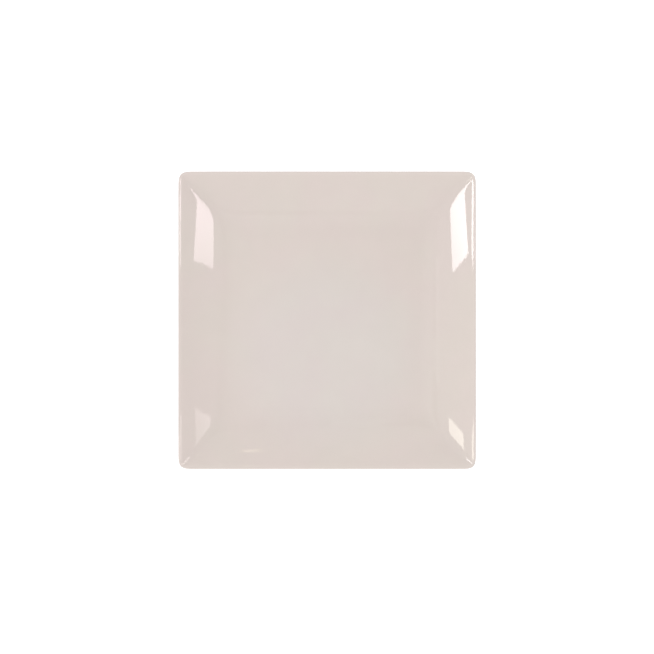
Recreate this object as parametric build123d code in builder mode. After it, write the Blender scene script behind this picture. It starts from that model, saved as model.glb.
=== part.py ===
from build123d import *

import math
import os

# Square dinner plate, in millimetres: one pressed clay body under two coats of glaze.
# The origin is on the table under the middle of the plate. Z is up, X and Y run along the sides.

# Size over all
side = 260.0  # over the glazed lip, edge to edge

# Creases, where two walls meet, along the middle of the clay.
# The sides of the plan bend in slowly before a crease and tighten to it. A bend is the length from the square
# corner to where a side begins to bend. Its fullness is the share of that length that its handles take.
bend_at_well = 18.0
bend_at_lip = 9.2
fullness_at_well = 0.85
fullness_at_lip = 0.92

# Section of the clay
floor_thickness = 4.4
lip_thickness = 3.2  # where the lip starts, with the wall thinning evenly up to it
wall_run = 49.0  # level distance from the edge of the well to the start of the lip
wall_rise = 15.75  # height from the middle of the floor to the start of the lip
lip_roll_radius = 9.6  # of the broad roll that the face takes before the edge of the lip
lip_roll_angle = 18.0  # degrees that this roll turns through

# Foot ring, with sides that lean apart from the table up to the floor
foot_inset = 6.5  # from the edge of the well in to the outside of the foot on the table
foot_width = 4.5  # of the standing edge
foot_height = 3.5  # from the table to the clay under the floor
foot_draft = 14.0  # degrees, on each side
foot_inner_corner = 8.0  # level radius of the ring's inside on the table
foot_bevel = 0.8  # on both edges of the standing face, where the foot is fettled
foot_root_radius = 1.8

# Glaze
glaze_thickness = 0.4
bare_height = 1.3  # of the foot, wiped clean of glaze above the table

# Level sections that the round forms are lofted through
wall_section_count = 4
lip_roll_section_count = 3
lip_crest_section_count = 3
lip_edge_section_count = 5
lip_under_section_count = 3

# Worked out from these
quarter_turn = math.pi / 2
half_turn = math.pi
wall_radius = (wall_run**2 + wall_rise**2) / (2 * wall_rise)
wall_angle = math.atan2(wall_run, wall_radius - wall_rise)

# The lip turns from the face of the wall to its back through three arcs: the broad roll, the tight edge up to
# where the plate is widest, and a roll under it. They span the wall's thickness and start and end abreast.
edge_start = math.radians(lip_roll_angle)
edge_end = quarter_turn + wall_angle
roll_share = math.cos(edge_start) - math.sin(edge_start) / math.tan(edge_end / 2)
edge_radius = (lip_thickness - lip_roll_radius * (1 - roll_share)) / (1 + roll_share)
edge_shift = lip_roll_radius - edge_radius
under_radius = edge_radius + edge_shift * math.sin(edge_start) / math.sin(edge_end)
edge_along = edge_shift * math.sin(edge_start)
edge_across = edge_shift * math.cos(edge_start) + lip_thickness / 2 - lip_roll_radius
edge_middle_reach = edge_along * math.cos(wall_angle) - edge_across * math.sin(wall_angle)

wall_end_half = side / 2 - glaze_thickness - edge_radius - edge_middle_reach
well_half = wall_end_half - wall_run
floor_middle = foot_height + floor_thickness / 2
wall_end_height = floor_middle + wall_rise
foot_half = well_half - foot_inset
foot_lean = math.radians(foot_draft)


def level_square(half, bend, fullness, height):
    """A level square with corners that tighten to their middle, the plan of the floor, walls and lip."""
    straight = half - bend
    handle = straight + fullness * bend
    with BuildLine() as quarter:
        Line((half, -straight), (half, straight))
        Bezier((half, straight), (half, handle), (handle, half), (straight, half))
    with BuildSketch(Plane.XY.offset(height)) as section:
        with BuildLine():
            with PolarLocations(0, 4):
                add(quarter.line)
        make_face()
    return section.sketch


def bend_outside(bend, fullness, distance):
    """The bend that runs a level distance outside another one, at its two ends and on its diagonal.

    The middle of a bend is (4 - 3 * fullness) / 8 of its length from the square corner, along either side.
    """
    diagonal_share = 1 - math.sin(quarter_turn / 2)
    cut_in = bend * (4 - 3 * fullness) / 8 + distance * diagonal_share
    outer_bend = bend + distance
    outer_fullness = (4 - 8 * cut_in / outer_bend) / 3
    return outer_bend, outer_fullness


def wall_sections(coat, outwards):
    """Sections of one side of the wall, an arc from the edge of the well up to the lip.

    outwards is 1 for the back and -1 for the face.
    """
    sections = []
    for step in range(wall_section_count):
        share = step / (wall_section_count - 1)
        angle = share * wall_angle
        thickness = floor_thickness + share * (lip_thickness - floor_thickness)
        offset_out = outwards * (thickness / 2 + coat)
        radius = wall_radius + offset_out
        bend, fullness = bend_outside(
            bend_at_well + share * (bend_at_lip - bend_at_well),
            fullness_at_well + share * (fullness_at_lip - fullness_at_well),
            offset_out * math.sin(angle),
        )
        half = well_half + radius * math.sin(angle)
        height = floor_middle + wall_radius - radius * math.cos(angle)
        sections.append(level_square(half, bend, fullness, height))
    return sections


def lip_place(coat, turn):
    """How far out and up from the end of the wall the lip is, where it has turned this far from the face."""
    radius = lip_roll_radius
    along = 0
    across = lip_thickness / 2 - lip_roll_radius
    for arc_start, arc_radius in ((edge_start, edge_radius), (edge_end, under_radius)):
        if turn > arc_start:
            along += (radius - arc_radius) * math.sin(arc_start)
            across += (radius - arc_radius) * math.cos(arc_start)
            radius = arc_radius
    along += (radius + coat) * math.sin(turn)
    across += (radius + coat) * math.cos(turn)
    outwards = along * math.cos(wall_angle) - across * math.sin(wall_angle)
    upwards = along * math.sin(wall_angle) + across * math.cos(wall_angle)
    return outwards, upwards


def lip_sections(coat, start_turn, end_turn, count):
    """Sections of the lip between two of the angles that it turns through."""
    sections = []
    for step in range(count):
        turn = start_turn + step / (count - 1) * (end_turn - start_turn)
        outwards, upwards = lip_place(coat, turn)
        bend, fullness = bend_outside(bend_at_lip, fullness_at_lip, outwards)
        half = wall_end_half + outwards
        sections.append(level_square(half, bend, fullness, wall_end_height + upwards))
    return sections


def plate_form(coat):
    """The plate's whole form, under an even coat of this thickness or as bare clay where it is 0."""
    foot_coat = coat / math.cos(foot_lean)
    foot_spread = floor_middle * math.tan(foot_lean)
    with BuildSketch() as foot_plan:
        RectangleRounded(2 * foot_half, 2 * foot_half, foot_inner_corner + foot_width)
    foot_line = foot_plan.face().outer_wire()
    foot_along = foot_line % 0
    foot_outwards = foot_along.cross(Axis.Z.direction)
    with BuildPart() as form:
        # Floor, walls and lip: the form of the back less the hollow of the face, meeting on the lip's crest
        loft(wall_sections(coat, 1))
        loft(lip_sections(coat, half_turn, edge_end, lip_under_section_count))
        loft(lip_sections(coat, edge_end, wall_angle, lip_edge_section_count))
        loft(wall_sections(coat, -1), mode=Mode.SUBTRACT)
        loft(lip_sections(coat, 0, edge_start, lip_roll_section_count), mode=Mode.SUBTRACT)
        loft(lip_sections(coat, edge_start, wall_angle, lip_crest_section_count), mode=Mode.SUBTRACT)
        # Foot ring, swept round under the floor, with X outwards from the table's outer edge and Y up
        with BuildSketch(Plane(foot_line @ 0, x_dir=foot_outwards, z_dir=-foot_along)) as foot:
            with BuildLine():
                Polyline(
                    (foot_coat, 0),
                    (foot_coat + foot_spread, floor_middle),
                    (-foot_width - foot_coat - foot_spread, floor_middle),
                    (-foot_width - foot_coat, 0),
                    close=True,
                )
            make_face()
        sweep(foot.sketch, path=foot_line)
        fillet(form.edges(Select.NEW), radius=foot_root_radius - coat)
        chamfer(form.faces().sort_by(Axis.Z)[0].edges(), length=foot_bevel)
    return form.part


os.makedirs("parts", exist_ok=True)

clay_form = plate_form(0)
glazed_form = plate_form(glaze_thickness)

# Body: floor, walls, lip and foot ring in one pressed piece
with BuildPart() as clay_body:
    add(clay_form)

clay_body.part.label = "clay_body"
export_step(clay_body.part, "parts/clay_body.step")

# Both coats together, which the wiped foot keeps apart
with BuildPart() as coats:
    add(glazed_form)
    add(clay_form, mode=Mode.SUBTRACT)
    with BuildSketch():
        Rectangle(side, side)
    extrude(amount=bare_height, mode=Mode.SUBTRACT)

# Coat over the face, the lip and the back, down to the outside of the foot
with BuildPart() as face_glaze:
    add(coats.solids().sort_by(SortBy.VOLUME)[-1])

face_glaze.part.label = "face_glaze"
export_step(face_glaze.part, "parts/face_glaze.step")

# Coat inside the foot ring
with BuildPart() as foot_well_glaze:
    add(coats.solids().sort_by(SortBy.VOLUME)[0])

foot_well_glaze.part.label = "foot_well_glaze"
export_step(foot_well_glaze.part, "parts/foot_well_glaze.step")
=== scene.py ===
"""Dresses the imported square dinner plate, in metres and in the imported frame.

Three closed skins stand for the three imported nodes: the coat of glaze over the face, the lip and the back,
the coat of glaze inside the foot ring, and the clay body between them, which shows only where the foot is
wiped bare.
"""

import logging
import math
from abc import ABC, abstractmethod
from collections.abc import Mapping, Sequence
from dataclasses import dataclass, replace
from enum import Enum

import bmesh
import bpy
import numpy as np
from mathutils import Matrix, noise


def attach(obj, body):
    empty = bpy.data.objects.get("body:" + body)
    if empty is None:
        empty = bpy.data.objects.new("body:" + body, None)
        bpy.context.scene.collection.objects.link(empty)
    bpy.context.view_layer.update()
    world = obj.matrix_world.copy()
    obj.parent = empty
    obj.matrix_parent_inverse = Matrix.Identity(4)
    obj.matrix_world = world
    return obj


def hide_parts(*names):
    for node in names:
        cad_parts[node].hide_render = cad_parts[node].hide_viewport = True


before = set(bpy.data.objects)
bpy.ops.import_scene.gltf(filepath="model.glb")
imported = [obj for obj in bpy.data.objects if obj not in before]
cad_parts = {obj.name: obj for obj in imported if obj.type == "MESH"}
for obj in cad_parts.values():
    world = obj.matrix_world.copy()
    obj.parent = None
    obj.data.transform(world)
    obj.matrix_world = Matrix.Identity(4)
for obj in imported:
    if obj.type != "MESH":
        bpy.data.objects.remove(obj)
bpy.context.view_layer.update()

LOG = logging.getLogger("square_dinner_plate")
MM = 0.001
BODY = "root"
WHITE = (1.0, 1.0, 1.0, 1.0)

# Glow of a plain white flag at its four corners, the same as the dome's
FLAG_GLOW = (1.0, 1.0, 1.0, 1.0)

# Fullness at which a bend is part of a circle
ROUND_FULLNESS = 4 / 3 * math.tan(math.pi / 8)

# Cosine and sine of each quarter turn
QUARTER_TURNS = ((1, 0), (0, 1), (-1, 0), (0, -1))

# Range that most of a soft noise's values lie in
NOISE_RANGE = (0.25, 0.75)

# Numbers of the sockets that the Mix node has for colours
MIX_SHARE, MIX_UNDER, MIX_OVER, MIX_RESULT = 0, 6, 7, 2

Colour = tuple[float, float, float]
Point = tuple[float, float, float]
Span = tuple[float, float]
Socket = bpy.types.NodeSocket
Setting = float | bool | Sequence[float] | Socket


class Side(Enum):
    """The side of the clay that a surface of the wall is on."""

    FACE = -1
    BACK = 1


class FootSide(Enum):
    """The side of the foot ring, as the way that it looks."""

    OUTER = 1
    INNER = -1


@dataclass(frozen=True)
class RingPlan:
    """How many steps a ring of points takes round a level square."""

    side_steps: int = 32
    half_corner_steps: int = 24

    @property
    def across(self) -> int:
        """Steps from one diagonal of the plate to the next."""
        return self.side_steps + 2 * self.half_corner_steps

    @property
    def around(self) -> int:
        """Steps of the whole ring."""
        return len(QUARTER_TURNS) * self.across


@dataclass(frozen=True)
class RunSteps:
    """Steps that the level squares take over each stretch of the plate, at a fineness of 1."""

    foot: int = 1
    root: int = 2
    back: int = 8
    under_lip: int = 2
    lip_edge: int = 4
    lip_roll: int = 2
    face: int = 14
    flat: int = 2


@dataclass(frozen=True)
class Level:
    """A level square with corners that tighten to their middle.

    A bend is the length from the square corner to where a side begins to bend. Its fullness is the share of
    that length that the handles of the curve take. At ROUND_FULLNESS the corner is part of a circle.
    """

    half: float
    bend: float
    fullness: float
    height: float

    def outside(self, distance: float) -> "Level":
        """Finds the level square that runs a distance outside this one, at its sides and on its diagonals.

        Along either side, the middle of a bend is (4 - 3 * fullness) / 8 of its length from the corner.

        Args:
            distance: Level distance out, or in where it is below 0.

        Returns:
            The other level square, at the same height.
        """
        diagonal_share = 1 - math.sqrt(0.5)
        cut_in = self.bend * (4 - 3 * self.fullness) / 8 + distance * diagonal_share
        bend = self.bend + distance
        return replace(self, half=self.half + distance, bend=bend, fullness=(4 - 8 * cut_in / bend) / 3)

    def towards(self, other: "Level", share: float) -> "Level":
        """Finds a level square between this one and another.

        Args:
            other: The level square at share 1.
            share: How far it is towards the other.

        Returns:
            The level square between them.
        """
        return Level(
            self.half + share * (other.half - self.half),
            self.bend + share * (other.bend - self.bend),
            self.fullness + share * (other.fullness - self.fullness),
            self.height + share * (other.height - self.height),
        )

    def ring(self, plan: RingPlan) -> np.ndarray:
        """Sets points round the square, anticlockwise from the corner of the sides that look to -Y and +X.

        Args:
            plan: The steps that the ring takes.

        Returns:
            The points, one row each.
        """
        straight = self.half - self.bend
        handle = straight + self.fullness * self.bend
        t = np.linspace(0.0, 0.5, plan.half_corner_steps + 1)[:, None]
        corner = (
            (1 - t) ** 3 * np.array([self.half, straight])
            + 3 * (1 - t) ** 2 * t * np.array([self.half, handle])
            + 3 * (1 - t) * t**2 * np.array([handle, self.half])
            + t**3 * np.array([straight, self.half])
        )
        along = np.linspace(-straight, straight, plan.side_steps + 1)[1:-1]
        middle = np.column_stack([np.full(len(along), self.half), along])
        one_side = np.concatenate([corner[::-1] * (1, -1), middle, corner[:-1]])
        turned = [one_side @ np.array([[cosine, sine], [-sine, cosine]]) for cosine, sine in QUARTER_TURNS]
        points = np.concatenate(turned)
        return np.column_stack([points, np.full(len(points), self.height)])


@dataclass(frozen=True)
class PlateForm:
    """The plate's sizes, in metres and radians, and the level squares that its surfaces run through.

    Bends and fullnesses are those of the middle of the clay.
    """

    side: float = 260.0 * MM  # over the glazed lip
    bend_at_well: float = 18.0 * MM
    bend_at_lip: float = 9.2 * MM
    fullness_at_well: float = 0.85
    fullness_at_lip: float = 0.92
    floor_thickness: float = 4.4 * MM
    lip_thickness: float = 3.2 * MM  # where the lip starts
    wall_run: float = 49.0 * MM  # level, from the edge of the well to the start of the lip
    wall_rise: float = 15.75 * MM  # from the middle of the floor to the start of the lip
    lip_roll_radius: float = 9.6 * MM  # of the broad roll before the edge of the lip
    lip_roll_turn: float = math.radians(18.0)
    foot_inset: float = 6.5 * MM  # from the edge of the well in to the outside of the foot on the table
    foot_width: float = 4.5 * MM  # of the standing edge
    foot_height: float = 3.5 * MM  # from the table to the clay under the floor
    foot_lean: float = math.radians(14.0)  # of each side, away from the ring
    foot_inner_corner: float = 8.0 * MM
    foot_bevel: float = 0.8 * MM
    foot_bevel_softness: float = 0.25 * MM  # length on each side that the rounding of a bevel's edge takes
    foot_bevel_steps: int = 4  # round each of those edges
    foot_root_radius: float = 1.8 * MM
    glaze_thickness: float = 0.4 * MM
    bare_height: float = 1.3 * MM  # of the foot, wiped clean of glaze above the table
    rolled_edge: float = 0.55 * MM  # height in which the edge of the glaze rolls out to its full thickness
    under_floor_shares: Span = (0.3, 0.65)  # of the way from the foot's root to the wall, each with a ring
    patch_share: float = 0.75  # of a flat's half, which the patch in its middle takes
    patch_bend_share: float = 0.05  # of a flat's half, which the bends of the patch take
    steps: RunSteps = RunSteps()

    @property
    def wall_radius(self) -> float:
        """Radius of the wall's hollow, along the middle of the clay."""
        return (self.wall_run**2 + self.wall_rise**2) / (2 * self.wall_rise)

    @property
    def wall_angle(self) -> float:
        """Slope of the wall at the lip."""
        return math.atan2(self.wall_run, self.wall_radius - self.wall_rise)

    @property
    def widest_turn(self) -> float:
        """Turn of the lip, from the face of the wall, at which the plate is widest."""
        return math.pi / 2 + self.wall_angle

    @property
    def edge_radius(self) -> float:
        """Radius of the lip's tight edge, which lets its three arcs span the wall's thickness."""
        share = math.cos(self.lip_roll_turn) - math.sin(self.lip_roll_turn) / math.tan(self.widest_turn / 2)
        return (self.lip_thickness - self.lip_roll_radius * (1 - share)) / (1 + share)

    @property
    def under_radius(self) -> float:
        """Radius of the roll under the lip's edge."""
        share = math.sin(self.lip_roll_turn) / math.sin(self.widest_turn)
        return self.edge_radius + share * (self.lip_roll_radius - self.edge_radius)

    @property
    def wall_end_half(self) -> float:
        """Half of the side where the wall ends and the lip starts, along the middle of the clay."""
        return self.side / 2 - self.lip_place(self.widest_turn, self.glaze_thickness)[0]

    @property
    def well_half(self) -> float:
        """Half of the side at the edge of the well."""
        return self.wall_end_half - self.wall_run

    @property
    def floor_middle(self) -> float:
        """Height of the middle of the floor's clay."""
        return self.foot_height + self.floor_thickness / 2

    @property
    def wall_end_height(self) -> float:
        """Height of the middle of the clay where the wall ends and the lip starts."""
        return self.floor_middle + self.wall_rise

    def wall(self, share: float, coat: float, side: Side) -> Level:
        """Finds a level of the wall, an arc that thins from the edge of the well up to the lip.

        Args:
            share: 0 at the edge of the well and 1 at the lip.
            coat: Thickness of glaze on the clay.
            side: The side of the clay.

        Returns:
            The level square there.
        """
        angle = share * self.wall_angle
        thickness = self.floor_thickness + share * (self.lip_thickness - self.floor_thickness)
        out = side.value * (thickness / 2 + coat)
        middle = Level(
            self.well_half + self.wall_radius * math.sin(angle),
            self.bend_at_well + share * (self.bend_at_lip - self.bend_at_well),
            self.fullness_at_well + share * (self.fullness_at_lip - self.fullness_at_well),
            self.floor_middle + self.wall_radius - (self.wall_radius + out) * math.cos(angle),
        )
        return middle.outside(out * math.sin(angle))

    def lip_place(self, turn: float, coat: float) -> tuple[float, float]:
        """Finds a place on the lip.

        The lip rolls over broadly, turns a tight edge and rolls under it to the back of the wall.

        Args:
            turn: How far the lip has turned there, 0 at the face of the wall and half a turn at its back.
            coat: Thickness of glaze on the clay.

        Returns:
            How far out and how far up it is from the end of the wall.
        """
        radius = self.lip_roll_radius
        along, across = 0.0, self.lip_thickness / 2 - radius
        later_arcs = ((self.lip_roll_turn, self.edge_radius), (self.widest_turn, self.under_radius))
        for start, next_radius in later_arcs:
            if turn > start:
                along += (radius - next_radius) * math.sin(start)
                across += (radius - next_radius) * math.cos(start)
                radius = next_radius
        along += (radius + coat) * math.sin(turn)
        across += (radius + coat) * math.cos(turn)
        cosine, sine = math.cos(self.wall_angle), math.sin(self.wall_angle)
        return along * cosine - across * sine, along * sine + across * cosine

    def lip(self, turn: float, coat: float) -> Level:
        """Finds a level of the lip.

        Args:
            turn: How far the lip has turned there from the face of the wall.
            coat: Thickness of glaze on the clay.

        Returns:
            The level square there.
        """
        out, up = self.lip_place(turn, coat)
        height = self.wall_end_height + up
        return Level(self.wall_end_half, self.bend_at_lip, self.fullness_at_lip, height).outside(out)

    def foot(self, side: FootSide, out: float, height: float) -> Level:
        """Finds a level round the foot ring.

        Args:
            side: The side of the ring.
            out: Level distance off the edge that this side has on the table, away from the ring.
            height: Height above the table.

        Returns:
            The level square there, with round corners.
        """
        half = self.well_half - self.foot_inset
        corner = self.foot_inner_corner + self.foot_width
        if side is FootSide.INNER:
            half, corner = half - self.foot_width, self.foot_inner_corner
        return Level(half + side.value * out, corner + side.value * out, ROUND_FULLNESS, height)

    def foot_side_out(self, height: float, coat: float) -> float:
        """Level distance of a coated side of the foot off its bare edge on the table, at a height."""
        return coat / math.cos(self.foot_lean) + height * math.tan(self.foot_lean)

    def foot_side(self, side: FootSide, coat: float, start: float, fine: int) -> list[Level]:
        """Runs up a side of the foot and round its hollow root to the floor.

        Args:
            side: The side of the ring.
            coat: Thickness of glaze on the clay.
            start: Height that it starts at.
            fine: How finely it steps.

        Returns:
            The level squares, from the start to where the root meets the floor.
        """
        radius = self.foot_root_radius - coat
        middle_height = self.foot_height - coat - radius
        middle_out = self.foot_side_out(middle_height, coat) + radius / math.cos(self.foot_lean)
        root_height = middle_height + radius * math.sin(self.foot_lean)
        heights = np.linspace(start, root_height, self.steps.foot * fine + 1)[:-1].tolist()
        levels = [self.foot(side, self.foot_side_out(height, coat), height) for height in heights]
        angles = np.linspace(math.pi - self.foot_lean, math.pi / 2, self.steps.root * fine + 1).tolist()
        for angle in angles:
            out = middle_out + radius * math.cos(angle)
            levels.append(self.foot(side, out, middle_height + radius * math.sin(angle)))
        return levels

    def over_plate(self, coat: float, start: float, fine: int) -> list[Level]:
        """Runs from the outside of the foot under the floor, up the back, over the lip and into the well.

        Args:
            coat: Thickness of glaze on the clay.
            start: Height on the foot that it starts at.
            fine: How finely it steps.

        Returns:
            The level squares, from the foot to near the middle of the well.
        """
        levels = self.foot_side(FootSide.OUTER, coat, start, fine)
        edge = self.wall(0.0, coat, Side.BACK)
        levels += [levels[-1].towards(edge, share) for share in self.under_floor_shares]
        up_back = np.linspace(0, 1, self.steps.back * fine + 1).tolist()
        levels += [self.wall(share, coat, Side.BACK) for share in up_back]
        bounds = (math.pi, self.widest_turn, self.lip_roll_turn, 0.0)
        counts = (self.steps.under_lip, self.steps.lip_edge, self.steps.lip_roll)
        for first, last, count in zip(bounds, bounds[1:], counts):
            turns = np.linspace(first, last, count * fine + 1)[1:].tolist()
            levels += [self.lip(turn, coat) for turn in turns]
        down_face = np.linspace(1, 0, self.steps.face * fine + 1)[1:].tolist()
        levels += [self.wall(share, coat, Side.FACE) for share in down_face]
        return levels + self.into_middle(levels[-1], fine)

    def under_foot_well(self, coat: float, start: float, fine: int) -> list[Level]:
        """Runs from the inside of the foot up to the floor and in under it.

        Args:
            coat: Thickness of glaze on the clay.
            start: Height on the foot that it starts at.
            fine: How finely it steps.

        Returns:
            The level squares, from the foot to near the middle of the floor.
        """
        levels = self.foot_side(FootSide.INNER, coat, start, fine)
        return levels + self.into_middle(levels[-1], fine)

    def into_middle(self, edge: Level, fine: int) -> list[Level]:
        """Runs over a flat from its edge in to a nearly sharp square, for a patch of squares to fill.

        Args:
            edge: The level square round the flat.
            fine: How finely it steps.

        Returns:
            The level squares, without the one at the edge.
        """
        half, bend = self.patch_share * edge.half, self.patch_bend_share * edge.half
        inner = Level(half, bend, ROUND_FULLNESS, edge.height)
        count = self.steps.flat * fine
        return [edge.towards(inner, step / count) for step in range(1, count + 1)]

    def glaze_edge(self, side: FootSide, steps: int) -> list[Level]:
        """Rolls the edge of the glaze from the clay at the wiped line out to the coat's full thickness.

        Args:
            side: The side of the foot ring.
            steps: Steps round the edge.

        Returns:
            The level squares, without the one on the clay and the one at full thickness.
        """
        levels = []
        for angle in np.linspace(0, math.pi / 2, steps + 1)[1:-1].tolist():
            height = self.bare_height + self.rolled_edge * (1 - math.cos(angle))
            out = self.foot_side_out(height, self.glaze_thickness * math.sin(angle))
            levels.append(self.foot(side, out, height))
        return levels

    def standing_foot(self) -> list[Level]:
        """Runs under the bare foot, from its outer side over two softened bevels to its inner side.

        Returns:
            The level squares, between the wiped lines of the two sides.
        """
        bevel_height = self.foot_bevel * math.cos(self.foot_lean)
        corners = (
            (self.foot_side_out(self.bare_height, 0.0), self.bare_height),
            (self.foot_side_out(bevel_height, 0.0), bevel_height),
            (-self.foot_bevel, 0.0),
            (-self.foot_width / 2, 0.0),
        )
        run = soften(corners, self.foot_bevel_softness, self.foot_bevel_steps)
        outer = [self.foot(FootSide.OUTER, out, height) for out, height in run]
        inner = [self.foot(FootSide.INNER, out, height) for out, height in run]
        return outer + inner[::-1]


def soften(corners: Sequence[Span], reach: float, steps: int) -> list[Span]:
    """Rounds the inner corners of an open line.

    Args:
        corners: The line's points, with its two ends.
        reach: Length along each run that a rounding takes.
        steps: Steps round each corner.

    Returns:
        The points of the softened line, without its two ends.
    """
    softened = []
    for before, corner, after in zip(corners, corners[1:], corners[2:]):
        here = np.array(corner)
        start = here + reach * (np.array(before) - here) / math.dist(before, corner)
        end = here + reach * (np.array(after) - here) / math.dist(after, corner)
        for t in np.linspace(0, 1, steps + 1):
            softened.append(tuple(((1 - t) ** 2 * start + 2 * t * (1 - t) * here + t**2 * end).tolist()))
    return softened


class Skin:
    """A closed skin of four-sided faces, laid ring by ring, with a square patch over each middle."""

    def __init__(self, plan: RingPlan) -> None:
        """Starts with no points.

        Args:
            plan: The steps that each ring takes.
        """
        self.plan = plan
        self.points: list[np.ndarray] = []
        self.faces: list[np.ndarray] = []
        self.count = 0

    def put(self, points: np.ndarray) -> np.ndarray:
        """Adds points to the skin.

        Args:
            points: The points, one row each.

        Returns:
            Their numbers.
        """
        numbers = np.arange(self.count, self.count + len(points))
        self.points.append(points)
        self.count += len(points)
        return numbers

    def lay(self, levels: Sequence[Level]) -> None:
        """Lays rings through level squares, joins each to the next, and fills the first and the last.

        Args:
            levels: The level squares, from one middle of the skin to the other.
        """
        rings = [self.put(level.ring(self.plan)) for level in levels]
        for low, high in zip(rings, rings[1:]):
            self.faces.append(np.column_stack([low, np.roll(low, -1), np.roll(high, -1), high]))
        self.patch(rings[0], levels[0])
        self.patch(rings[-1], levels[-1])

    def patch(self, ring: np.ndarray, level: Level) -> None:
        """Fills a ring with a grid of faces that follows its four sides.

        Args:
            ring: Numbers of the ring's points.
            level: The level square that they lie on.
        """
        steps = self.plan.across
        around = level.ring(self.plan)
        sides = [
            np.arange(first, first + steps + 1) % self.plan.around
            for first in range(0, self.plan.around, steps)
        ]
        right, top, left, bottom = sides[0], sides[1][::-1], sides[2][::-1], sides[3]
        # The grid is the runs between both pairs of sides, less what the corners alone would give
        u = np.linspace(0, 1, steps + 1)[None, :, None]
        v = np.linspace(0, 1, steps + 1)[:, None, None]
        across = (1 - u) * around[left][:, None] + u * around[right][:, None]
        up = (1 - v) * around[bottom][None] + v * around[top][None]
        low = (1 - u) * around[bottom[0]] + u * around[bottom[-1]]
        high = (1 - u) * around[top[0]] + u * around[top[-1]]
        grid = across + up - (1 - v) * low - v * high
        numbers = np.empty((steps + 1, steps + 1), int)
        numbers[:, -1] = ring[right]
        numbers[-1] = ring[top]
        numbers[:, 0] = ring[left]
        numbers[0] = ring[bottom]
        numbers[1:-1, 1:-1] = self.put(grid[1:-1, 1:-1].reshape(-1, 3)).reshape(steps - 1, steps - 1)
        cells = (numbers[:-1, :-1], numbers[:-1, 1:], numbers[1:, 1:], numbers[1:, :-1])
        self.faces.append(np.stack([cell.ravel() for cell in cells], axis=1))

    def mesh(self, name: str) -> bpy.types.Mesh:
        """Makes a smooth mesh of the skin, with every face looking out.

        Args:
            name: Name of the mesh.

        Returns:
            The mesh.
        """
        mesh = bpy.data.meshes.new(name)
        mesh.from_pydata(np.concatenate(self.points).tolist(), [], np.concatenate(self.faces).tolist())
        shell = bmesh.new()
        shell.from_mesh(mesh)
        bmesh.ops.recalc_face_normals(shell, faces=shell.faces)
        shell.to_mesh(mesh)
        shell.free()
        mesh.shade_smooth()
        return mesh


def put_in_scene(name: str, data: bpy.types.ID) -> bpy.types.Object:
    """Makes an object of a mesh or a camera and puts it in the scene.

    Args:
        name: Name of the object.
        data: The mesh or the camera.

    Returns:
        The object.
    """
    item = bpy.data.objects.new(name, data)
    bpy.context.scene.collection.objects.link(item)
    return item


@dataclass(frozen=True)
class Mottle:
    """Soft noise: the number of its lumps in a metre, and how many times finer lumps are added to them."""

    scale: float
    detail: float


class NodeBench:
    """Adds the nodes of one material or world and links them."""

    def __init__(self, tree: bpy.types.NodeTree) -> None:
        """Clears the tree to start with."""
        self.tree = tree
        tree.nodes.clear()

    def add(
        self, kind: str, inputs: Mapping[str | int, Setting] | None = None, **choices: str
    ) -> bpy.types.Node:
        """Adds a node.

        Args:
            kind: Blender's name of the node's type, after ShaderNode.
            inputs: Values, or sockets to link from, by the name or number of the input.
            **choices: The node's own options.

        Returns:
            The node.
        """
        node = self.tree.nodes.new("ShaderNode" + kind)
        for choice, value in choices.items():
            setattr(node, choice, value)
        for key, value in (inputs or {}).items():
            if isinstance(value, bpy.types.NodeSocket):
                self.tree.links.new(value, node.inputs[key])
            else:
                node.inputs[key].default_value = value
        return node

    def reckon(self, operation: str, *values: Setting) -> Socket:
        """Adds a sum of plain values, by Blender's name of the operation, and returns its result."""
        return self.add("Math", dict(enumerate(values)), operation=operation).outputs[0]

    def multiply(self, colour: Socket, factor: Socket) -> Socket:
        """Multiplies a colour by another or by a value and returns the result."""
        return self.add("VectorMath", {0: colour, 1: factor}, operation="MULTIPLY").outputs[0]

    def blend(self, share: Socket, under: Socket, over: Colour) -> Socket:
        """Lays a share of one colour over another and returns the result."""
        inputs = {MIX_SHARE: share, MIX_UNDER: under, MIX_OVER: (*over, 1.0)}
        return self.add("Mix", inputs, data_type="RGBA").outputs[MIX_RESULT]

    def noise(self, place: Socket, mottle: Mottle) -> Socket:
        """Adds soft noise and returns its value."""
        inputs = {"Vector": place, "Scale": mottle.scale, "Detail": mottle.detail}
        return self.add("TexNoise", inputs).outputs["Fac"]

    def rescale(self, value: Socket, given: Span, wanted: Span, **choices: str) -> Socket:
        """Carries a value from one range to another, and stops it at the ends.

        Args:
            value: The value.
            given: The ends of the range that it comes in.
            wanted: What these ends become.
            **choices: The node's own options.

        Returns:
            The value in the other range.
        """
        low, high = given
        new_low, new_high = wanted
        inputs = {"Value": value, "From Min": low, "From Max": high, "To Min": new_low, "To Max": new_high}
        return self.add("MapRange", inputs, **choices).outputs["Result"]

    def spread(self, value: Socket, wanted: Span) -> Socket:
        """Spreads a noise value over a range and returns the result."""
        return self.rescale(value, NOISE_RANGE, wanted)

    def ramp(self, value: Socket, stops: Sequence[tuple[float, Colour]]) -> Socket:
        """Adds a run of colours over a value.

        Args:
            value: The value to colour.
            stops: Each place on the value with its colour, in order.

        Returns:
            The colour.
        """
        node = self.add("ValToRGB", {"Fac": value})
        while len(node.color_ramp.elements) < len(stops):
            node.color_ramp.elements.new(1.0)
        for element, (place, colour) in zip(node.color_ramp.elements, stops):
            element.position = place
            element.color = (*colour, 1.0)
        return node.outputs["Color"]

    def seen_directly(self) -> Socket:
        """Tests whether the camera, a gloss or a clear thing looks.

        Returns:
            1 where one of them does, and 0 where not.
        """
        path = self.add("LightPath").outputs
        either = self.reckon("MAXIMUM", path["Is Camera Ray"], path["Is Glossy Ray"])
        return self.reckon("MAXIMUM", either, path["Is Transmission Ray"])


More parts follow.
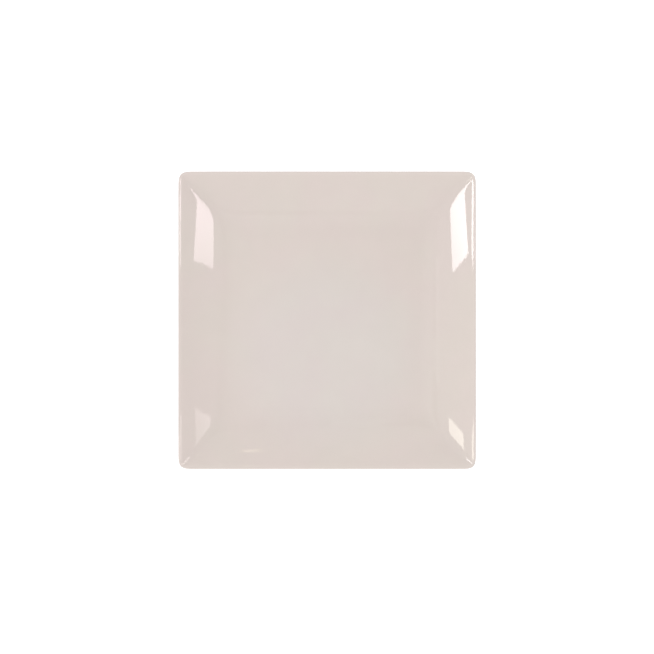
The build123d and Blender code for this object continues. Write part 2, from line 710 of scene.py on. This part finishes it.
def start_material(name: str) -> tuple[bpy.types.Material, NodeBench]:
    """Starts a material that has no nodes yet.

    Args:
        name: Name of the material.

    Returns:
        The material and the bench for its nodes.
    """
    material = bpy.data.materials.new(name)
    material.use_nodes = True
    return material, NodeBench(material.node_tree)


@dataclass(frozen=True)
class GlazeFinish:
    """Glossy warm off-white glaze, with painted light: painted cooler in the well and warmer up the walls.

    Rosy and straw tints drift over it. Its shade and gloss are faintly cloudy, and it has a faint orange
    peel.
    """

    # Painted light: the glaze is painted cooler round a middle a little towards the bottom, and warmer out
    # on the walls
    well_glaze_painted_cool: Colour = (0.684, 0.620, 0.589)
    wall_glaze_painted_warm: Colour = (0.695, 0.616, 0.577)
    painted_light_middle: Point = (0.0, -0.028, 0.008)
    painted_light_edge: Span = (0.045, 0.105)  # from its middle, where the painted warming starts and where it is full
    rosy: Colour = (1.0, 0.988, 0.988)
    straw: Colour = (0.990, 0.998, 0.982)
    drift: Mottle = Mottle(26.0, 2.0)
    drift_stops: Span = (0.36, 0.64)  # values of the drift at which it is all rosy and all straw
    cloud: Mottle = Mottle(48.0, 3.0)
    cloud_depth: float = 0.010
    gloss: Span = (0.02, 0.034)  # roughness of its smoothest and its dullest clouds
    gloss_cloud: Mottle = Mottle(70.0, 2.0)
    peel: Mottle = Mottle(210.0, 1.0)
    peel_height: float = 4.5e-6
    index: float = 1.5  # of refraction

    def material(self) -> bpy.types.Material:
        """Makes the glaze's material.

        Returns:
            The material.
        """
        material, bench = start_material("glaze")
        place = bench.add("TexCoord").outputs["Object"]
        # Painted light: the colour warms from the well's to the walls' with distance from a middle towards
        # the bottom
        ends = {0: place, 1: self.painted_light_middle}
        away = bench.add("VectorMath", ends, operation="DISTANCE").outputs["Value"]
        painted_light_share = bench.rescale(away, self.painted_light_edge, (0.0, 1.0), interpolation_type="SMOOTHSTEP")
        glaze_with_painted_light = bench.ramp(painted_light_share, ((0.0, self.well_glaze_painted_cool), (1.0, self.wall_glaze_painted_warm)))
        rosy_stop, straw_stop = self.drift_stops
        stops = ((rosy_stop, self.rosy), (straw_stop, self.straw))
        tint = bench.multiply(glaze_with_painted_light, bench.ramp(bench.noise(place, self.drift), stops))
        clouds = bench.noise(place, self.cloud)
        shade = bench.spread(clouds, (1 - self.cloud_depth, 1 + self.cloud_depth))
        peel = bench.noise(place, self.peel)
        bump = bench.add("Bump", {"Height": peel, "Distance": self.peel_height})
        shader = bench.add(
            "BsdfPrincipled",
            {
                "Base Color": bench.multiply(tint, shade),
                "Roughness": bench.spread(bench.noise(place, self.gloss_cloud), self.gloss),
                "IOR": self.index,
                "Normal": bump.outputs["Normal"],
            },
        )
        bench.add("OutputMaterial", {"Surface": shader.outputs["BSDF"]})
        return material


@dataclass(frozen=True)
class ClayFinish:
    """Bare fired clay, matt and gritty, with darker grains and rubbed grey smudges."""

    pale: Colour = (0.76, 0.71, 0.65)
    deep: Colour = (0.66, 0.60, 0.53)
    grain: Colour = (0.36, 0.29, 0.23)
    rubbed: Colour = (0.52, 0.49, 0.46)
    drift: Mottle = Mottle(60.0, 4.0)
    drift_stops: Span = (0.35, 0.68)  # values of the drift at which it is all pale and all deep
    smudge: Mottle = Mottle(35.0, 6.0)
    smudge_range: Span = (-0.9, 0.7)  # shares of the rubbed colour, with none where it is below 0
    grain_cells: float = 900.0  # in a metre, each with room for one grain
    grain_edge: Span = (0.16, 0.3)  # from a cell's middle, in cells, to where a grain fades and ends
    grainless_shade: float = 0.72  # cells whose random shade is no lighter hold no grain
    grit: Mottle = Mottle(1800.0, 4.0)
    grit_height: float = 5e-5
    roughness: Span = (0.82, 0.95)

    def material(self) -> bpy.types.Material:
        """Makes the clay's material.

        Returns:
            The material.
        """
        material, bench = start_material("clay")
        place = bench.add("TexCoord").outputs["Object"]
        pale_stop, deep_stop = self.drift_stops
        stops = ((pale_stop, self.pale), (deep_stop, self.deep))
        base = bench.ramp(bench.noise(place, self.drift), stops)
        smudges = bench.spread(bench.noise(place, self.smudge), self.smudge_range)
        rubbed = bench.blend(smudges, base, self.rubbed)
        cells = bench.add("TexVoronoi", {"Vector": place, "Scale": self.grain_cells}).outputs
        spots = bench.rescale(cells["Distance"], self.grain_edge, (1.0, 0.0))
        some = bench.reckon("GREATER_THAN", cells["Color"], self.grainless_shade)
        grit = bench.noise(place, self.grit)
        bump = bench.add("Bump", {"Height": grit, "Distance": self.grit_height})
        shader = bench.add(
            "BsdfPrincipled",
            {
                "Base Color": bench.blend(bench.reckon("MULTIPLY", spots, some), rubbed, self.grain),
                "Roughness": bench.spread(grit, self.roughness),
                "Normal": bump.outputs["Normal"],
            },
        )
        bench.add("OutputMaterial", {"Surface": shader.outputs["BSDF"]})
        return material


@dataclass(frozen=True)
class PlatePiece(ABC):
    """One piece of the plate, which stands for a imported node."""

    form: PlateForm
    finish: GlazeFinish | ClayFinish
    name: str
    node: str
    slot: str
    plan: RingPlan = RingPlan()

    @abstractmethod
    def levels(self) -> list[Level]:
        """Lists the level squares of the piece's skin, from one middle to the other."""

    def build(self) -> bpy.types.Object:
        """Builds the piece's mesh and puts it in the scene.

        Returns:
            The piece.
        """
        skin = Skin(self.plan)
        skin.lay(self.levels())
        return put_in_scene(self.name, skin.mesh(self.name))

    def dress(self, piece: bpy.types.Object, material: bpy.types.Material) -> None:
        """Gives the piece its material and sets it in the place of its node.

        Args:
            piece: The built piece.
            material: Its finish.
        """
        piece.data.materials.append(material)
        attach(piece, BODY)
        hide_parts(self.node)


@dataclass(frozen=True)
class GlazeCoat(PlatePiece):
    """A coat of glaze, which follows the clay inside and lies a little uneven outside."""

    ripple_depth: float = 0.012 * MM
    ripple_scale: float = 24.0  # lumps in a metre
    fine: int = 4
    fine_on_clay: int = 2
    edge_steps: int = 6

    @abstractmethod
    def run(self, coat: float, start: float, fine: int) -> list[Level]:
        """Lists the level squares of one side of the coat, from the wiped line to the middle."""

    @abstractmethod
    def foot_side(self) -> FootSide:
        """The side of the foot ring that the coat ends on."""

    def on_clay(self) -> list[Level]:
        """Lists the level squares along the clay, from the wiped line to the middle."""
        return self.run(0.0, self.form.bare_height, self.fine_on_clay)

    def levels(self) -> list[Level]:
        """Lists the level squares along the clay, round the rolled edge, and over the outside.

        Returns:
            The level squares, from the middle on the clay to the middle outside.
        """
        rolled = self.form.glaze_edge(self.foot_side(), self.edge_steps)
        full_height = self.form.bare_height + self.form.rolled_edge
        outside = self.run(self.form.glaze_thickness, full_height, self.fine)
        return self.on_clay()[::-1] + rolled + outside

    def build(self) -> bpy.types.Object:
        """Builds the coat and sinks its outside a little, here and there.

        Returns:
            The piece.
        """
        piece = super().build()
        mesh = piece.data
        # The skin's points are its rings, from the clay to the outside, then the patch on the clay and the
        # patch outside. What lies on the clay stays, and so does the rolled edge up to its full thickness.
        first_sunk = self.plan.around * (len(self.on_clay()) + self.edge_steps)
        clay_patch = self.plan.around * len(self.levels())
        outer_patch = clay_patch + (self.plan.across - 1) ** 2
        normals = [vertex.normal.copy() for vertex in mesh.vertices]
        for vertex, normal in zip(mesh.vertices, normals):
            if vertex.index < first_sunk or clay_patch <= vertex.index < outer_patch:
                continue
            lie = (1 + noise.noise(self.ripple_scale * vertex.co)) / 2
            vertex.co -= self.ripple_depth * lie * normal
        return piece


@dataclass(frozen=True)
class FaceCoat(GlazeCoat):
    """The coat over the well, the walls, the lip and the back, down to the outside of the foot."""

    def run(self, coat: float, start: float, fine: int) -> list[Level]:
        """Lists the level squares from the outside of the foot over the whole plate."""
        return self.form.over_plate(coat, start, fine)

    def foot_side(self) -> FootSide:
        """The outer side."""
        return FootSide.OUTER


@dataclass(frozen=True)
class FootWellCoat(GlazeCoat):
    """The coat inside the foot ring."""

    def run(self, coat: float, start: float, fine: int) -> list[Level]:
        """Lists the level squares from the inside of the foot in under the floor."""
        return self.form.under_foot_well(coat, start, fine)

    def foot_side(self) -> FootSide:
        """The inner side."""
        return FootSide.INNER


@dataclass(frozen=True)
class ClayBody(PlatePiece):
    """The pressed body between the two coats, bare where the foot stands."""

    fine: int = 2

    def levels(self) -> list[Level]:
        """Lists the level squares from the well, over the lip, down the back, under the foot and in again.

        Returns:
            The level squares, from the middle of the well to the middle under the floor.
        """
        over = self.form.over_plate(0.0, self.form.bare_height, self.fine)
        under = self.form.under_foot_well(0.0, self.form.bare_height, self.fine)
        return over[::-1] + self.form.standing_foot() + under


class SheetPlace(Enum):
    """Where a glowing sheet hangs, as the camera sees it, with what the glaze shows of it."""

    UPPER_LEFT = "upper_left"  # the upper highlight of the right wall
    UPPER_RIGHT = "upper_right"  # the upper highlight of the left wall
    LOWER_LEFT = "lower_left"  # the lower highlight of the right wall
    LOWER_RIGHT = "lower_right"  # the lower highlight of the left wall
    FAR_CORNER = "far_corner"  # the line in the lower left crease
    CREASE_FLAG = "crease_flag"  # no lamp in the upper part of that crease
    LIP_FLAG = "lip_flag"  # no lamp on the inner side of the left lip
    TOP_GAP = "top_gap"  # the short streak in the bottom wall
    LEFT_SEAM = "left_seam"  # the faint line low on the right wall
    OVERHEAD = "overhead"  # the shading of the well
    ROUND_OVERHEAD = "round_overhead"  # the shading round the well


@dataclass(frozen=True)
class GlowSheet:
    """A sheet that glows, more at one corner than at another, which the glaze mirrors.

    A sheet with a glow of 1 is a plain white flag. It looks like the dome and hides a lamp behind it.
    """

    place: SheetPlace
    corners: tuple[Point, Point, Point, Point]
    glow: tuple[float, float, float, float]
    colour: Colour = (1.0, 1.0, 1.0)
    fade: float = 0.0  # width of the border, as a share of the way from the middle to a corner
    fade_to: float = 1.0  # glow at the border's outer edge

    def mesh(self, name: str) -> bpy.types.Mesh:
        """Makes the sheet's mesh, with its glow at each point and a border where it fades.

        Args:
            name: Name of the mesh.

        Returns:
            The mesh.
        """
        points, glow, faces = list(self.corners), list(self.glow), [(0, 1, 2, 3)]
        if self.fade:
            middle = np.mean(self.corners, axis=0)
            points += [middle + (1 + self.fade) * (np.array(corner) - middle) for corner in self.corners]
            glow += [self.fade_to] * 4
            faces += [(k, k + 4, (k + 1) % 4 + 4, (k + 1) % 4) for k in range(4)]
        mesh = bpy.data.meshes.new(name)
        mesh.from_pydata(points, [], faces)
        mesh.attributes.new("glow", "FLOAT", "POINT").data.foreach_set("value", glow)
        return mesh

    def hang(self) -> bpy.types.Object:
        """Hangs the sheet over the plate, where only a gloss can see it.

        Returns:
            The sheet.
        """
        name = self.place.value + "_sheet"
        sheet = put_in_scene(name, self.mesh(name))
        material, bench = start_material(name)
        glow = bench.add("Attribute", attribute_name="glow").outputs["Fac"]
        shader = bench.add("Emission", {"Color": (*self.colour, 1.0), "Strength": glow})
        bench.add("OutputMaterial", {"Surface": shader.outputs[0]})
        sheet.data.materials.append(material)
        sheet.visible_camera = False
        sheet.visible_diffuse = False
        sheet.visible_shadow = False
        return sheet


@dataclass(frozen=True)
class PhotoCamera:
    """The camera of the photograph, far above the plate and looking straight down."""

    picture_side: float = 654.0  # pixels
    plate_width: float = 297.5  # pixels
    plate_middle: Span = (327.15, 320.3)  # pixels across and down
    height: float = 1.6
    sensor: float = 36.0  # millimetres

    def place(self, form: PlateForm) -> bpy.types.Object:
        """Places the camera so that the plate has its size and place in the photograph.

        Args:
            form: The plate's form.

        Returns:
            The camera.
        """
        scale = self.plate_width / form.side
        widest_height = form.lip(form.widest_turn, form.glaze_thickness).height
        data = bpy.data.cameras.new("photo_camera")
        data.sensor_width = self.sensor
        data.lens = self.sensor * scale * (self.height - widest_height) / self.picture_side
        camera = put_in_scene(data.name, data)
        across, down = self.plate_middle
        centre = self.picture_side / 2
        camera.location = ((centre - across) / scale, (down - centre) / scale, self.height)
        bpy.context.scene.camera = camera
        return camera


@dataclass(frozen=True)
class Studio:
    """A plain white studio: a floor, a nearly even dome of light and the sheets that the glaze mirrors.

    The sheets' corners are in metres, round the plate's middle on the table.
    """

    floor_half: float = 4.0
    floor_sink: float = 0.05 * MM  # below the foot, so that the two don't meet
    floor_grey: float = 0.5
    floor_glow: float = 0.75  # which makes the floor white to the camera under the dome's light
    dome_level: float = 1.354
    dome_lean: Point = (-0.10, -0.045, -0.33)  # share by which the light grows along each axis
    sheets: tuple[GlowSheet, ...] = (
        GlowSheet(
            SheetPlace.UPPER_LEFT,
            corners=(
                (-0.367, 0.199, 0.670),
                (-0.428, 0.066, 0.630),
                (-0.621, 0.092, 0.423),
                (-0.534, 0.212, 0.493),
            ),
            glow=(10.4, 7.4, 10.4, 10.4),
            colour=(1.0, 0.985, 1.0),
        ),
        GlowSheet(
            SheetPlace.UPPER_RIGHT,
            corners=(
                (0.252, 0.071, 0.719),
                (0.248, 0.160, 0.713),
                (0.449, 0.197, 0.587),
                (0.541, 0.083, 0.540),
            ),
            glow=(5.4, 7.8, 9.0, 5.6),
            colour=(1.0, 0.87, 0.925),
        ),
        GlowSheet(
            SheetPlace.LOWER_LEFT,
            corners=(
                (-0.366, -0.124, 0.658),
                (-0.352, -0.184, 0.658),
                (-0.570, -0.210, 0.469),
                (-0.556, -0.148, 0.493),
            ),
            glow=(6.0, 6.8, 7.2, 6.8),
            colour=(1.0, 0.97, 0.86),
        ),
        GlowSheet(
            SheetPlace.LOWER_RIGHT,
            corners=(
                (0.295, -0.177, 0.685),
                (0.296, -0.126, 0.691),
                (0.504, -0.116, 0.553),
                (0.477, -0.173, 0.565),
            ),
            glow=(2.7, 3.7, 2.9, 2.4),
            colour=(1.0, 0.92, 0.93),
            fade=0.16,
        ),
        GlowSheet(
            SheetPlace.FAR_CORNER,
            corners=(
                (0.519, 0.282, 0.953),
                (0.344, 0.477, 0.953),
                (0.477, 0.647, 0.725),
                (0.702, 0.396, 0.725),
            ),
            glow=(2.6, 2.6, 10.0, 10.0),
            colour=(1.0, 0.95, 0.86),
        ),
        GlowSheet(
            SheetPlace.CREASE_FLAG,
            corners=(
                (0.004, -0.052, 0.250),
                (0.074, -0.047, 0.250),
                (0.042, -0.015, 0.250),
                (0.004, -0.020, 0.250),
            ),
            glow=FLAG_GLOW,
        ),
        GlowSheet(
            SheetPlace.LIP_FLAG,
            corners=(
                (-0.100, -0.085, 0.044),
                (-0.100, 0.135, 0.044),
                (-0.100, 0.135, 0.055),
                (-0.100, -0.085, 0.055),
            ),
            glow=FLAG_GLOW,
        ),
        GlowSheet(
            SheetPlace.TOP_GAP,
            corners=(
                (-0.108, 0.476, 0.567),
                (-0.092, 0.470, 0.578),
                (-0.092, 0.498, 0.555),
                (-0.108, 0.500, 0.548),
            ),
            glow=(3.6, 2.5, 2.4, 3.4),
            colour=(1.0, 0.92, 0.74),
            fade=0.9,
        ),
        GlowSheet(
            SheetPlace.LEFT_SEAM,
            corners=(
                (-0.176, 0.084, 0.724),
                (-0.224, 0.084, 0.711),
                (-0.224, -0.082, 0.711),
                (-0.176, -0.082, 0.725),
            ),
            glow=(1.3, 1.3, 1.3, 1.3),
        ),
        GlowSheet(
            SheetPlace.OVERHEAD,
            corners=(
                (-0.115, -0.110, 0.740),
                (0.115, -0.110, 0.740),
                (0.115, 0.120, 0.740),
                (-0.115, 0.120, 0.740),
            ),
            glow=(1.23, 0.85, 0.51, 0.89),
            fade=0.06,
            fade_to=0.8,
        ),
        GlowSheet(
            SheetPlace.ROUND_OVERHEAD,
            corners=(
                (-0.200, -0.185, 0.742),
                (0.200, -0.185, 0.742),
                (0.200, 0.210, 0.742),
                (-0.200, 0.210, 0.742),
            ),
            glow=(0.62, 0.74, 0.98, 0.86),
        ),
    )

    def build(self, form: PlateForm) -> None:
        """Builds the floor, the dome, the sheets and the camera.

        Args:
            form: The plate's form.
        """
        self.lay_floor()
        self.light_dome()
        for sheet in self.sheets:
            LOG.info("light %s: glow %s", sheet.hang().name, sheet.glow)
        camera = PhotoCamera().place(form)
        LOG.info("camera: %.1f mm lens at %.2f m", camera.data.lens, camera.location.z)

    def lay_floor(self) -> None:
        """Lays the floor, white to the camera, pale to the light, and clear from below."""
        half, height = self.floor_half, -self.floor_sink
        corners = [(x * half, y * half, height) for x, y in ((-1, -1), (1, -1), (1, 1), (-1, 1))]
        mesh = bpy.data.meshes.new("floor")
        mesh.from_pydata(corners, [], [(0, 1, 2, 3)])
        floor = put_in_scene("floor", mesh)
        material, bench = start_material("white_floor")
        grey = (self.floor_grey, self.floor_grey, self.floor_grey, 1.0)
        pale = bench.add("BsdfDiffuse", {"Color": grey})
        glow = bench.reckon("MULTIPLY", bench.seen_directly(), self.floor_glow)
        white = bench.add("Emission", {"Strength": glow})
        top = bench.add("AddShader", {0: pale.outputs[0], 1: white.outputs[0]})
        below = bench.add("NewGeometry").outputs["Backfacing"]
        clear = bench.add("BsdfTransparent")
        either = bench.add("MixShader", {0: below, 1: top.outputs[0], 2: clear.outputs[0]})
        bench.add("OutputMaterial", {"Surface": either.outputs[0]})
        mesh.materials.append(material)

    def light_dome(self) -> None:
        """Lights the dome, white where it is looked at and nearly even where it lights."""
        world = bpy.data.worlds.new("dome")
        world.use_nodes = True
        bpy.context.scene.world = world
        bench = NodeBench(world.node_tree)
        way = bench.add("TexCoord").outputs["Generated"]
        lean = bench.add("VectorMath", {0: way, 1: self.dome_lean}, operation="DOT_PRODUCT")
        level = bench.reckon("MULTIPLY_ADD", lean.outputs["Value"], self.dome_level, self.dome_level)
        light = bench.add("Background", {"Color": WHITE, "Strength": level}).outputs[0]
        white = bench.add("Background", {"Color": WHITE}).outputs[0]
        either = bench.add("MixShader", {0: bench.seen_directly(), 1: light, 2: white})
        bench.add("OutputWorld", {"Surface": either.outputs[0]})


def main() -> None:
    """Builds the plate's pieces in order, then the studio round them."""
    logging.basicConfig(level=logging.INFO, format="%(message)s")
    bpy.context.scene.view_settings.view_transform = "Standard"
    form = PlateForm()
    glaze, clay = GlazeFinish(), ClayFinish()
    materials = {glaze: glaze.material(), clay: clay.material()}
    pieces = (
        ClayBody(form, clay, name="pressed_body", node="clay_body", slot="clay"),
        FaceCoat(form, glaze, name="face_coat", node="face_glaze", slot="glaze"),
        FootWellCoat(form, glaze, name="foot_well_coat", node="foot_well_glaze", slot="glaze"),
    )
    for plan in pieces:
        piece = plan.build()
        plan.dress(piece, materials[plan.finish])
        LOG.info("piece %s: %d faces, %s", piece.name, len(piece.data.polygons), piece.dimensions[:])
    Studio().build(form)


if __name__ == "__main__":
    main()
